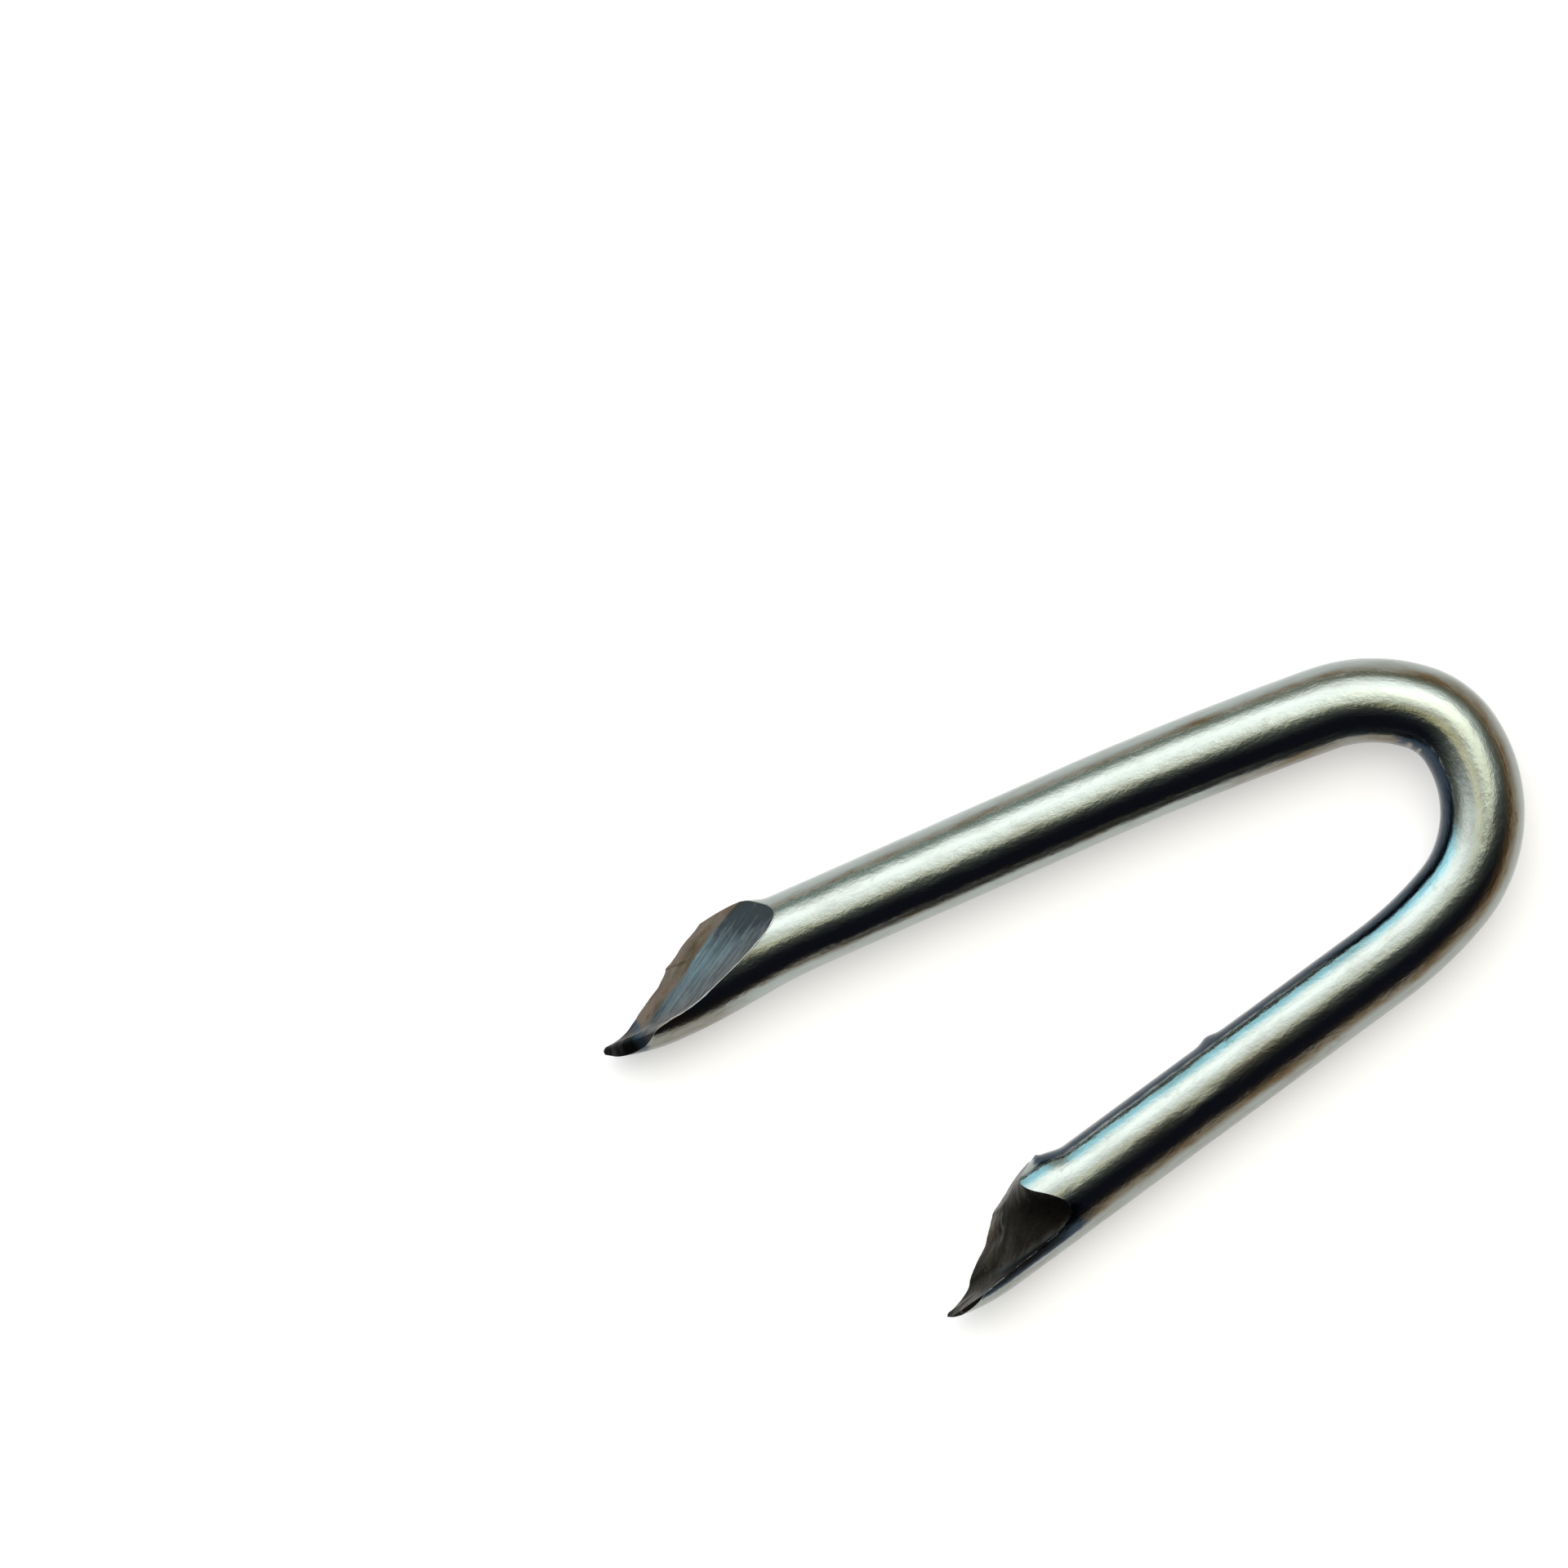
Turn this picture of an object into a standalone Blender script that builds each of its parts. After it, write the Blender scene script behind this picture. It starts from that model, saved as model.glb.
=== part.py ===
"""Fence staple: one length of round steel wire, bent into a narrow V with a rounded crown.

The two legs are unequal and each ends in a long slanting point. A shear blade with an S-shaped edge leaves
the points: it squashes the wire where it enters, slices its upper part and tears the rest, so each point
has a broad sheared face, a narrow torn band under a ridge, an undercut below and a thin toe at the end.

The staple lies flat, +Z up, its crown towards +X. X is midway between the legs, and the origin is the
middle of the bounding box, on the surface that the staple lies on.
"""

import math
from typing import NamedTuple

import bmesh
import bpy
from mathutils import Vector

MM = 0.001

# The wire
WIRE_DIAMETER = 4.0 * MM
WIRE_SIDES = 32

# The legs, from the end of the crown to the tip of the point
LONG_LEG_LENGTH = 24.6 * MM
SHORT_LEG_LENGTH = 26.3 * MM

# The bends, in the order that they follow the long leg: the radius inside each one, and how far it turns
BOW_INSIDE_RADIUS = 182.0 * MM
BOW_TURN = math.radians(4)
SHOULDER_INSIDE_RADIUS = 5.1 * MM
SHOULDER_TURN = math.radians(38)
CORNER_INSIDE_RADIUS = 1.6 * MM
CORNER_TURN = math.radians(37.5)
BACK_INSIDE_RADIUS = 4.3 * MM
BACK_TURN = math.radians(74)
EASING_INSIDE_RADIUS = 17.0 * MM
EASING_TURN = math.radians(14)
BEND_STEP = math.radians(4)

# The blade's edge, seen from above: it enters at the heel and comes out along the toe
CUT_ANGLE = math.radians(34)
LONG_ENTRY_RADIUS = 6.0 * MM
SHORT_ENTRY_RADIUS = 9.5 * MM
EXIT_RADIUS = 2.5 * MM
BLADE_STEP = math.radians(4)
BLADE_STRAIGHT_STEPS = 8
HEEL_CLEARANCE = 0.25 * MM
LONG_TOE_THICKNESS = 0.60 * MM
SHORT_TOE_THICKNESS = 0.85 * MM
TIP_RADIUS = 0.25 * MM
TIP_STEP = math.radians(18)

# The blade's faces, seen from the side. Heights are from the wire's axis, and a setback is towards the crown
LEADING_EDGE_HEIGHT = -0.8 * MM
RIDGE_HEIGHT = 0.2 * MM
TORN_BAND_SETBACK = 1.3 * MM
SHEARED_FACE_RAKE = math.radians(26)
SHEARED_FACE_HOLLOW = 0.2 * MM
SHEARED_FACE_STEPS = 8
UNDERCUT_RAKE = math.radians(38)

# How much more the faces above the edge lie back at the heel than on the wire's axis, as a share
LONG_HEEL_LAY_BACK = 0.3
SHORT_HEEL_LAY_BACK = -0.85
LEAST_LAY_BACK = 0.15
# The same share for the blunt end of the toe
TIP_LAY_BACK = 0.65

# How the squashed wire swells at the heel, and along the toe, where it then curls in. A lead is how far
# ahead of the blade's entry the heel's swelling is full: a negative one is past it
HEEL_SWELL = 0.34 * MM
HEEL_SWELL_RISE = 1.4 * MM
LONG_HEEL_SWELL_LEAD = -0.15 * MM
SHORT_HEEL_SWELL_LEAD = -1.6 * MM
LONG_TOE_SWELL = 0.5 * MM
SHORT_TOE_SWELL = 0.0 * MM
TOE_SWELL_RISE = 7.0 * MM
TOE_SWELL_FULL_AT = 4.0 * MM
TOE_CURL = 0.6 * MM
TOE_CURL_LENGTH = 3.5 * MM
THINNING = 0.1 * MM
SWELL_STEP = 0.32 * MM

# How far the raw wire runs past the tip, and the cutters past the wire's end, top, bottom and sides
RAW_END = 1.0 * MM
OVERRUN = 0.5 * MM
SIDE_OVERRUN = 3.0 * MM

WIRE_RADIUS = WIRE_DIAMETER / 2
BLADE_ENTRY = WIRE_RADIUS + HEEL_SWELL + HEEL_CLEARANCE
SWELL_LENGTH = TOE_SWELL_FULL_AT + TOE_SWELL_RISE
CROWN_TURN = SHOULDER_TURN + CORNER_TURN + BACK_TURN + EASING_TURN
SPLAY = (math.pi - BOW_TURN - CROWN_TURN) / 2
STEEL_COLOUR = (0.46, 0.46, 0.43, 1.0)
STEEL_ROUGHNESS = 0.32


class Point(NamedTuple):
    """The point of one leg: where it ends, which way the leg points, and what differs between the two."""

    tip: Vector
    outward: float
    entry_radius: float
    toe_thickness: float
    toe_swell: float
    heel_swell_lead: float
    heel_lay_back: float


def run(length, steps=1):
    """A straight stretch, as a move for trace()."""
    return length, 0.0, steps


def bend(radius, turn, step):
    """An arc of that radius. A positive turn is to the left."""
    return radius * abs(turn), turn, max(1, round(abs(turn) / step))


def trace(start, heading, moves):
    """Follows the moves from a start, and returns the (point, heading) of each station on the way."""
    point = Vector(start)
    stations = [(point.copy(), heading)]
    for length, turn, steps in moves:
        part_turn = turn / steps
        chord = length / steps
        if turn:
            chord *= math.sin(part_turn / 2) / (part_turn / 2)
        for _ in range(steps):
            along = heading + part_turn / 2
            point += chord * Vector((math.cos(along), math.sin(along)))
            heading += part_turn
            stations.append((point.copy(), heading))
    return stations


def clear_scene():
    for obj in list(bpy.data.objects):
        bpy.data.objects.remove(obj)


def steel():
    material = bpy.data.materials.new("bright_steel_wire")
    material.use_nodes = True
    shader = material.node_tree.nodes["Principled BSDF"]
    shader.inputs["Base Color"].default_value = STEEL_COLOUR
    shader.inputs["Metallic"].default_value = 1.0
    shader.inputs["Roughness"].default_value = STEEL_ROUGHNESS
    return material


def new_object(name, mesh_maker, parent, material=None):
    """An object whose mesh is closed, with its faces pointing out."""
    shape = bmesh.new()
    mesh_maker(shape)
    bmesh.ops.recalc_face_normals(shape, faces=shape.faces)
    mesh = bpy.data.meshes.new(name)
    shape.to_mesh(mesh)
    shape.free()
    if material:
        mesh.materials.append(material)
    obj = bpy.data.objects.new(name, mesh)
    obj.parent = parent
    bpy.context.scene.collection.objects.link(obj)
    return obj


def loft(shape, rings):
    """Joins rings of equal length by quads and closes both ends."""
    vertices = [[shape.verts.new(point) for point in ring] for ring in rings]
    for near, far in zip(vertices, vertices[1:]):
        for i in range(len(near)):
            j = (i + 1) % len(near)
            shape.faces.new((near[i], near[j], far[j], far[i]))
    shape.faces.new(reversed(vertices[0]))
    shape.faces.new(vertices[-1])


def eased(share):
    """Goes smoothly from 0 to 1 as the share does."""
    share = min(1.0, max(0.0, share))
    return share * share * (3 - 2 * share)


def heel_bulge(end, position):
    """How far the heel's side of the wire stands out, at a position on its centreline."""
    full_at = entry_to_tip(end) + end.heel_swell_lead
    from_tip = (position - end.tip).length
    return HEEL_SWELL * eased((full_at + HEEL_SWELL_RISE - from_tip) / HEEL_SWELL_RISE)


def toe_bulge(end, position):
    """The same for the toe's side, less the curl near the tip."""
    from_tip = (position - end.tip).length
    curl = TOE_CURL * max(0.0, 1 - from_tip / TOE_CURL_LENGTH) ** 2
    return end.toe_swell * eased((SWELL_LENGTH - from_tip) / TOE_SWELL_RISE) - curl


def thinning(end, position):
    """How far the top and the bottom of the wire draw in."""
    from_tip = (position - end.tip).length
    return THINNING * eased((SWELL_LENGTH - from_tip) / TOE_SWELL_RISE)


def wire_ring(point, heading, left, right, half_height):
    """One section of the wire, upright across its heading, with a flat of the polygon at the bottom."""
    across = Vector((-math.sin(heading), math.cos(heading), 0.0))
    corner = 1 / math.cos(math.pi / WIRE_SIDES)
    ring = []
    for i in range(WIRE_SIDES):
        angle = (i + 0.5) * math.tau / WIRE_SIDES
        half_width = left if math.cos(angle) > 0 else right
        sideways = half_width * corner * math.cos(angle)
        height = WIRE_RADIUS + half_height * corner * math.sin(angle)
        ring.append(point.to_3d() + sideways * across + Vector((0.0, 0.0, height)))
    return ring


def wire_stations():
    """The centreline from the long leg's raw end, round the crown, to the short leg's raw end."""
    crown = (
        bend(BOW_INSIDE_RADIUS + WIRE_RADIUS, -BOW_TURN, BEND_STEP / 4),
        bend(SHOULDER_INSIDE_RADIUS + WIRE_RADIUS, -SHOULDER_TURN, BEND_STEP),
        bend(CORNER_INSIDE_RADIUS + WIRE_RADIUS, -CORNER_TURN, BEND_STEP),
        bend(BACK_INSIDE_RADIUS + WIRE_RADIUS, -BACK_TURN, BEND_STEP),
        bend(EASING_INSIDE_RADIUS + WIRE_RADIUS, -EASING_TURN, BEND_STEP),
    )
    swelled = SWELL_LENGTH + RAW_END
    point = run(swelled, math.ceil(swelled / SWELL_STEP))
    long_leg = (point, run(LONG_LEG_LENGTH - SWELL_LENGTH))
    short_leg = (run(SHORT_LEG_LENGTH - SWELL_LENGTH), point)
    return trace((0.0, 0.0), -SPLAY, (*long_leg, *crown, *short_leg))


def point_at(station, turn_to_outward, *differences):
    """The point whose leg's raw end is at that station."""
    position, heading = station
    outward = heading + turn_to_outward
    along = Vector((math.cos(outward), math.sin(outward)))
    return Point(position - RAW_END * along, outward, *differences)


def make_wire(parent, material, stations, long_point, short_point):
    def mesh_maker(shape):
        rings = []
        for position, heading in stations:
            left = WIRE_RADIUS + heel_bulge(long_point, position) + toe_bulge(short_point, position)
            right = WIRE_RADIUS + toe_bulge(long_point, position) + heel_bulge(short_point, position)
            thinned = thinning(long_point, position) + thinning(short_point, position)
            rings.append(wire_ring(position, heading, left, right, WIRE_RADIUS - thinned))
        loft(shape, rings)

    wire = new_object("staple", mesh_maker, parent, material)
    wire.data.shade_smooth()
    wire.data.set_sharp_from_angle(angle=math.radians(25))
    return wire


def blade_moves(end):
    """The blade's edge from the heel to the tip: -Y is the heel's side and +Y the toe's."""
    rounding = (end.entry_radius + EXIT_RADIUS) * (1 - math.cos(CUT_ANGLE))
    across = BLADE_ENTRY + WIRE_RADIUS - end.toe_thickness
    return (
        bend(end.entry_radius, CUT_ANGLE, BLADE_STEP),
        run((across - rounding) / math.sin(CUT_ANGLE), BLADE_STRAIGHT_STEPS),
        bend(EXIT_RADIUS, -CUT_ANGLE, BLADE_STEP),
        bend(TIP_RADIUS, math.pi / 2, TIP_STEP),
    )


def entry_to_tip(end):
    return trace((0.0, 0.0), 0.0, blade_moves(end))[-1][0].x


def lay_back(end, across):
    """The share of a setback that the blade's faces have at a place across the wire."""
    share = max(LEAST_LAY_BACK, 1 - end.heel_lay_back * across / WIRE_RADIUS)
    past_toe = (across - WIRE_RADIUS + end.toe_thickness) / TIP_RADIUS
    return share + (TIP_LAY_BACK - share) * eased(past_toe)


def blade_levels():
    """The height of each line across the blade's faces, bottom to top, and its setback towards the crown."""
    reach = WIRE_RADIUS + OVERRUN
    levels = [
        (-reach, (LEADING_EDGE_HEIGHT + reach) / math.tan(UNDERCUT_RAKE)),
        (LEADING_EDGE_HEIGHT, 0.0),
    ]
    rise = reach - RIDGE_HEIGHT
    for i in range(SHEARED_FACE_STEPS + 1):
        share = i / SHEARED_FACE_STEPS
        hollow = SHEARED_FACE_HOLLOW * 4 * share * (1 - share)
        setback = TORN_BAND_SETBACK + share * rise / math.tan(SHEARED_FACE_RAKE) + hollow
        levels.append((RIDGE_HEIGHT + share * rise, setback))
    return levels


def make_cutter(name, parent, end):
    """All that the shear takes off one leg: the blade's edge in plan, swept up its faces."""

    def mesh_maker(shape):
        edge = [point for point, _ in trace((-entry_to_tip(end), -BLADE_ENTRY), 0.0, blade_moves(end))]
        beyond = RAW_END + OVERRUN
        aside = WIRE_RADIUS + SIDE_OVERRUN
        heel_side = Vector((edge[0].x - aside, -aside))
        toe_side = Vector((edge[-1].x, aside))
        rings = []
        for height, setback in blade_levels():
            ring = [(beyond, aside), (beyond, -aside)]
            for point in (heel_side, *edge, toe_side):
                ring.append((point.x - setback * lay_back(end, point.y), point.y))
            rings.append([Vector((x, y, WIRE_RADIUS + height)) for x, y in ring])
        loft(shape, rings)

    cutter = new_object(name, mesh_maker, parent)
    cutter.location = end.tip.to_3d()
    cutter.rotation_euler.z = end.outward
    cutter.hide_render = True
    cutter.display_type = "WIRE"
    return cutter


def cut(wire, cutter):
    modifier = wire.modifiers.new(cutter.name, "BOOLEAN")
    modifier.operation = "DIFFERENCE"
    modifier.solver = "EXACT"
    modifier.object = cutter


def centre_on_origin(frame, obj):
    """Moves the frame so that the object's bounding box stands with the middle of its base at the origin."""
    bpy.context.view_layer.update()
    evaluated = obj.evaluated_get(bpy.context.evaluated_depsgraph_get())
    corners = [evaluated.matrix_world @ Vector(corner) for corner in evaluated.bound_box]
    low = Vector(map(min, *corners))
    high = Vector(map(max, *corners))
    frame.location -= Vector(((low.x + high.x) / 2, (low.y + high.y) / 2, low.z))
    bpy.context.view_layer.update()


def build():
    clear_scene()
    frame = bpy.data.objects.new("staple_frame", None)
    bpy.context.scene.collection.objects.link(frame)
    stations = wire_stations()
    long_toe = (LONG_TOE_THICKNESS, LONG_TOE_SWELL)
    long_heel = (LONG_HEEL_SWELL_LEAD, LONG_HEEL_LAY_BACK)
    short_toe = (SHORT_TOE_THICKNESS, SHORT_TOE_SWELL)
    short_heel = (SHORT_HEEL_SWELL_LEAD, SHORT_HEEL_LAY_BACK)
    long_point = point_at(stations[0], math.pi, LONG_ENTRY_RADIUS, *long_toe, *long_heel)
    short_point = point_at(stations[-1], 0.0, SHORT_ENTRY_RADIUS, *short_toe, *short_heel)
    wire = make_wire(frame, steel(), stations, long_point, short_point)
    cut(wire, make_cutter("long_leg_shear", frame, long_point))
    cut(wire, make_cutter("short_leg_shear", frame, short_point))
    centre_on_origin(frame, wire)


build()
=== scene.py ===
"""A fence staple of drawn steel wire, lying flat, seen from straight above."""

import math

import bpy
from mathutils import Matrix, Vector, kdtree, noise


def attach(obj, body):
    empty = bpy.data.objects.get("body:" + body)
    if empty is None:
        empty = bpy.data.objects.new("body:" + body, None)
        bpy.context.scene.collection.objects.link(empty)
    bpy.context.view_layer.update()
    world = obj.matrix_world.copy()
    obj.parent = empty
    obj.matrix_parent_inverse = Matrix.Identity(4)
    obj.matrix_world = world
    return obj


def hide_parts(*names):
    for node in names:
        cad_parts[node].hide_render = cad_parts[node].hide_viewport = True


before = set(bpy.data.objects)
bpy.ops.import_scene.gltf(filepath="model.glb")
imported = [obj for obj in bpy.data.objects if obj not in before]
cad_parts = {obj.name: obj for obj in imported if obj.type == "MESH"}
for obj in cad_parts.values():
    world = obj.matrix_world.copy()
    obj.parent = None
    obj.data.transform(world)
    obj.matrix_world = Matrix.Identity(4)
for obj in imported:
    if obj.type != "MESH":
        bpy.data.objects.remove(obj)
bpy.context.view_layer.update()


# The view
# The staple lies on a table, and the camera looks straight down on it through a long lens.
# Its upright side is turned a third of a right angle from the staple's own length.

MM = 0.001
PHOTO_SIDE = 1920
PHOTO_PIXELS_PER_MM = 26.0
PHOTO_PIXEL_OF_ORIGIN = (1344.0, 1183.0)
PHOTO_TURN = math.radians(30.07)
# From the middle of the wire, which lies this high above the table
CAMERA_DISTANCE = 1000.0 * MM
WIRE_MIDDLE_HEIGHT = 2.0 * MM
CAMERA_SENSOR = 36.0

photo_right = Vector((math.cos(PHOTO_TURN), -math.sin(PHOTO_TURN), 0.0))
photo_up = Vector((math.sin(PHOTO_TURN), math.cos(PHOTO_TURN), 0.0))


def from_photo(x, y, height):
    """The place that a pixel of the photograph shows, at a height above the table."""
    right = (x - PHOTO_PIXEL_OF_ORIGIN[0]) / PHOTO_PIXELS_PER_MM * MM
    up = (PHOTO_PIXEL_OF_ORIGIN[1] - y) / PHOTO_PIXELS_PER_MM * MM
    return photo_right * right + photo_up * up + Vector((0.0, 0.0, height))


view_width = PHOTO_SIDE / PHOTO_PIXELS_PER_MM * MM
view_data = bpy.data.cameras.new("overhead_camera")
view_data.sensor_width = CAMERA_SENSOR
view_data.lens = CAMERA_SENSOR * CAMERA_DISTANCE / view_width
view_data.clip_start = 0.01
view_data.clip_end = 20.0
overhead_camera = bpy.data.objects.new("overhead_camera", view_data)
overhead_camera.location = from_photo(PHOTO_SIDE / 2, PHOTO_SIDE / 2, WIRE_MIDDLE_HEIGHT + CAMERA_DISTANCE)
overhead_camera.rotation_euler = (0.0, 0.0, -PHOTO_TURN)
bpy.context.scene.collection.objects.link(overhead_camera)
bpy.context.scene.camera = overhead_camera


# The bent wire
# One length of round steel wire, drawn through dies and left bright. A bending tool brings its two
# ends together, so it turns by a slack bow, a shoulder, a tight corner and a round back.

WIRE_RADIUS = 2.0 * MM
WIRE_SIDES = 88
RING_SPACING = 0.16 * MM
RAW_END = 1.0 * MM
LONG_LEG_LENGTH = 24.6 * MM
SHORT_LEG_LENGTH = 26.3 * MM
FIRST_PLACE = Vector((-22.95825, 9.82176, 2.0)) * MM
FIRST_HEADING = math.radians(-6.25)
# The radius inside each bend, and its turn in degrees, from the long leg round to the short one
CROWN_BENDS = (
    (182.0 * MM, 4.0),
    (5.1 * MM, 38.0),
    (1.6 * MM, 37.5),
    (4.3 * MM, 74.0),
    (17.0 * MM, 14.0),
)


def ahead_of(heading):
    return Vector((math.cos(heading), math.sin(heading), 0.0))


# Each ring's middle, the way that the wire runs there, and the wire used so far
wire_line = [(FIRST_PLACE, FIRST_HEADING, 0.0)]


def feed(length):
    """Runs the wire straight on: the end ring is extruded again and again."""
    place, heading, used = wire_line[-1]
    steps = round(length / RING_SPACING)
    bpy.ops.mesh.extrude_repeat(steps=steps, offset=ahead_of(heading) * length / steps)
    for step in range(1, steps + 1):
        run = length * step / steps
        wire_line.append((place + ahead_of(heading) * run, heading, used + run))


def bend(inside_radius, degrees):
    """Bends the wire to the right: the end ring is spun round the middle of the bend."""
    place, heading, used = wire_line[-1]
    radius = inside_radius + WIRE_RADIUS
    turn = math.radians(degrees)
    steps = round((radius + WIRE_RADIUS / 2) * turn / RING_SPACING)
    middle = place - radius * ahead_of(heading + math.pi / 2)
    bpy.ops.mesh.spin(steps=steps, angle=turn, center=middle, axis=(0, 0, 1))
    for step in range(1, steps + 1):
        turned = turn * step / steps
        outwards = ahead_of(heading - turned + math.pi / 2)
        wire_line.append((middle + radius * outwards, heading - turned, used + radius * turned))


bpy.ops.object.select_all(action="DESELECT")
bpy.ops.mesh.primitive_circle_add(
    vertices=WIRE_SIDES,
    radius=WIRE_RADIUS,
    location=FIRST_PLACE,
    rotation=(math.pi / 2, 0.0, FIRST_HEADING + math.pi / 2),
)
bent_wire = bpy.context.object
bent_wire.name = "bent_wire"
bpy.ops.object.transform_apply(location=True, rotation=True, scale=True)
bpy.ops.object.mode_set(mode="EDIT")
bpy.ops.mesh.select_all(action="SELECT")
feed(RAW_END + LONG_LEG_LENGTH)
for inside_radius, degrees in CROWN_BENDS:
    bend(inside_radius, degrees)
feed(SHORT_LEG_LENGTH + RAW_END)
bpy.ops.mesh.select_all(action="DESELECT")
bpy.ops.mesh.select_non_manifold(use_boundary=True)
bpy.ops.mesh.edge_face_add()
bpy.ops.mesh.select_all(action="SELECT")
bpy.ops.mesh.normals_make_consistent(inside=False)
bpy.ops.object.mode_set(mode="OBJECT")

wire_length = wire_line[-1][2]
ring_finder = kdtree.KDTree(len(wire_line))
for number, (place, heading, used) in enumerate(wire_line):
    ring_finder.insert(place, number)
ring_finder.balance()


def straightened(point):
    """Where a point would be if the wire were pulled straight, and the way to its left. The place is how
    far along the wire it is, how far left of its middle, and how high above it."""
    number = ring_finder.find(Vector((point.x, point.y, WIRE_RADIUS)))[1]
    place, heading, used = wire_line[number]
    offset = point - place
    left = ahead_of(heading + math.pi / 2)
    return Vector((used + offset.dot(ahead_of(heading)), offset.dot(left), offset.z)), left



# The sheared points
# A shear slices each leg at a long slant. Its S-shaped blade squashes the wire at the heel, slices
# the upper part, tears the rest along a ridge, and leaves a thin toe that curls in at the tip.

CUT_ANGLE = math.radians(34)
EXIT_RADIUS = 2.5 * MM
TIP_RADIUS = 0.25 * MM
LEADING_EDGE_HEIGHT = -0.8 * MM
RIDGE_HEIGHT = 0.2 * MM
TORN_BAND_SETBACK = 1.3 * MM
SHEARED_FACE_RAKE = math.radians(26)
SHEARED_FACE_HOLLOW = 0.2 * MM
UNDERCUT_RAKE = math.radians(38)
LEAST_LAY_BACK = 0.15
TIP_LAY_BACK = 0.65
HEEL_SWELL = 0.34 * MM
HEEL_SWELL_RISE = 1.4 * MM
TOE_SWELL_RISE = 7.0 * MM
TOE_SWELL_FULL_AT = 4.0 * MM
TOE_CURL = 0.6 * MM
TOE_CURL_LENGTH = 3.5 * MM
THINNING = 0.1 * MM
BLADE_ENTRY = WIRE_RADIUS + HEEL_SWELL + 0.25 * MM
BLADE_ASIDE = WIRE_RADIUS + 3.0 * MM
BLADE_REACH = WIRE_RADIUS + 0.5 * MM
BLADE_SPACING = 0.1 * MM
BLADE_PAST_TIP = 0.5 * MM
# How finely the blade's edge and its faces are divided
LEAST_EDGE_STEPS = 5
HEEL_COLUMNS = 12
TOE_COLUMNS = 24
UNDERCUT_ROWS = 16
TORN_ROWS = 14
SHEARED_ROWS = 44
# The torn band is ragged, and above and below it the faces are scored in fine lines
TORN_FROM = -1.3 * MM
TORN_FULL_FROM = -0.8 * MM
TORN_FULL_TO = 0.05 * MM
TORN_TO = 0.35 * MM
TORN_DEPTH = 0.07 * MM
TORN_GRAIN = 0.9 * MM
TORN_GRAIN_HEIGHT = 0.5 * MM
# How fast the torn band's finer waves weaken, how much finer each is, and how many there are
TORN_WAVES = (1.0, 2.0, 4)
SCORE_DEPTH = 0.02 * MM
SCORE_LENGTH = 6.0 * MM
SCORE_WIDTH = 0.16 * MM

# The chips are the cut edge's unevenness: how far from the wire's middle, how far out, how wide, in mm
LONG_TOE = {
    "entry_radius": 6.0 * MM,
    "thickness": 0.60 * MM,
    "swell": 0.5 * MM,
    "heel_lead": -0.15 * MM,
    "lay_back": 0.3,
    "chips": ((-1.9, -0.2, 0.3), (-0.85, 0.13, 0.09), (-0.2, -0.2, 0.4)),
}
SHORT_TOE = {
    "entry_radius": 9.5 * MM,
    "thickness": 0.85 * MM,
    "swell": 0.0,
    "heel_lead": -1.6 * MM,
    "lay_back": -0.85,
    "chips": ((-1.9, -0.15, 0.2), (-1.4, 0.1, 0.12), (-0.35, -0.27, 0.35), (0.75, -0.1, 0.2)),
}


def eased(share):
    """Goes smoothly from 0 to 1 as the share does."""
    share = min(1.0, max(0.0, share))
    return share * share * (3 - 2 * share)


def blade_edge(toe):
    """The blade's edge seen from above, from the heel across to the tip: -Y is the heel's side."""
    rounding = (toe["entry_radius"] + EXIT_RADIUS) * (1 - math.cos(CUT_ANGLE))
    slant = (BLADE_ENTRY + WIRE_RADIUS - toe["thickness"] - rounding) / math.sin(CUT_ANGLE)
    stretches = (
        (toe["entry_radius"] * CUT_ANGLE, CUT_ANGLE),
        (slant, 0.0),
        (EXIT_RADIUS * CUT_ANGLE, -CUT_ANGLE),
        (TIP_RADIUS * math.pi / 2, math.pi / 2),
    )
    point = Vector((0.0, -BLADE_ENTRY, 0.0))
    heading = 0.0
    edge = [point.copy()]
    for length, turn in stretches:
        steps = max(LEAST_EDGE_STEPS, round(length / BLADE_SPACING))
        for _ in range(steps):
            heading += turn / steps / 2
            point += ahead_of(heading) * length / steps
            heading += turn / steps / 2
            edge.append(point.copy())
    tip_x = edge[-1].x
    return [point - Vector((tip_x, 0.0, 0.0)) for point in edge]


def press_in_shear(toe, edge, from_tip):
    """How far the heel's side and the toe's side stand out where the shear squashed the wire."""
    full_at = -edge[0].x + toe["heel_lead"]
    heel = HEEL_SWELL * eased((full_at + HEEL_SWELL_RISE - from_tip) / HEEL_SWELL_RISE)
    curl = TOE_CURL * max(0.0, 1 - from_tip / TOE_CURL_LENGTH) ** 2
    swelled = eased((TOE_SWELL_FULL_AT + TOE_SWELL_RISE - from_tip) / TOE_SWELL_RISE)
    return heel, toe["swell"] * swelled - curl, THINNING * swelled


long_edge = blade_edge(LONG_TOE)
short_edge = blade_edge(SHORT_TOE)
for vertex in bent_wire.data.vertices:
    inline, left = straightened(vertex.co)
    long_heel, long_toe, long_thin = press_in_shear(LONG_TOE, long_edge, abs(inline.x - RAW_END))
    from_short_tip = abs(wire_length - RAW_END - inline.x)
    short_heel, short_toe, short_thin = press_in_shear(SHORT_TOE, short_edge, from_short_tip)
    spread = long_heel + short_toe if inline.y > 0 else long_toe + short_heel
    vertex.co += left * inline.y * spread / WIRE_RADIUS
    vertex.co.z -= inline.z * (long_thin + short_thin) / WIRE_RADIUS

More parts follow.
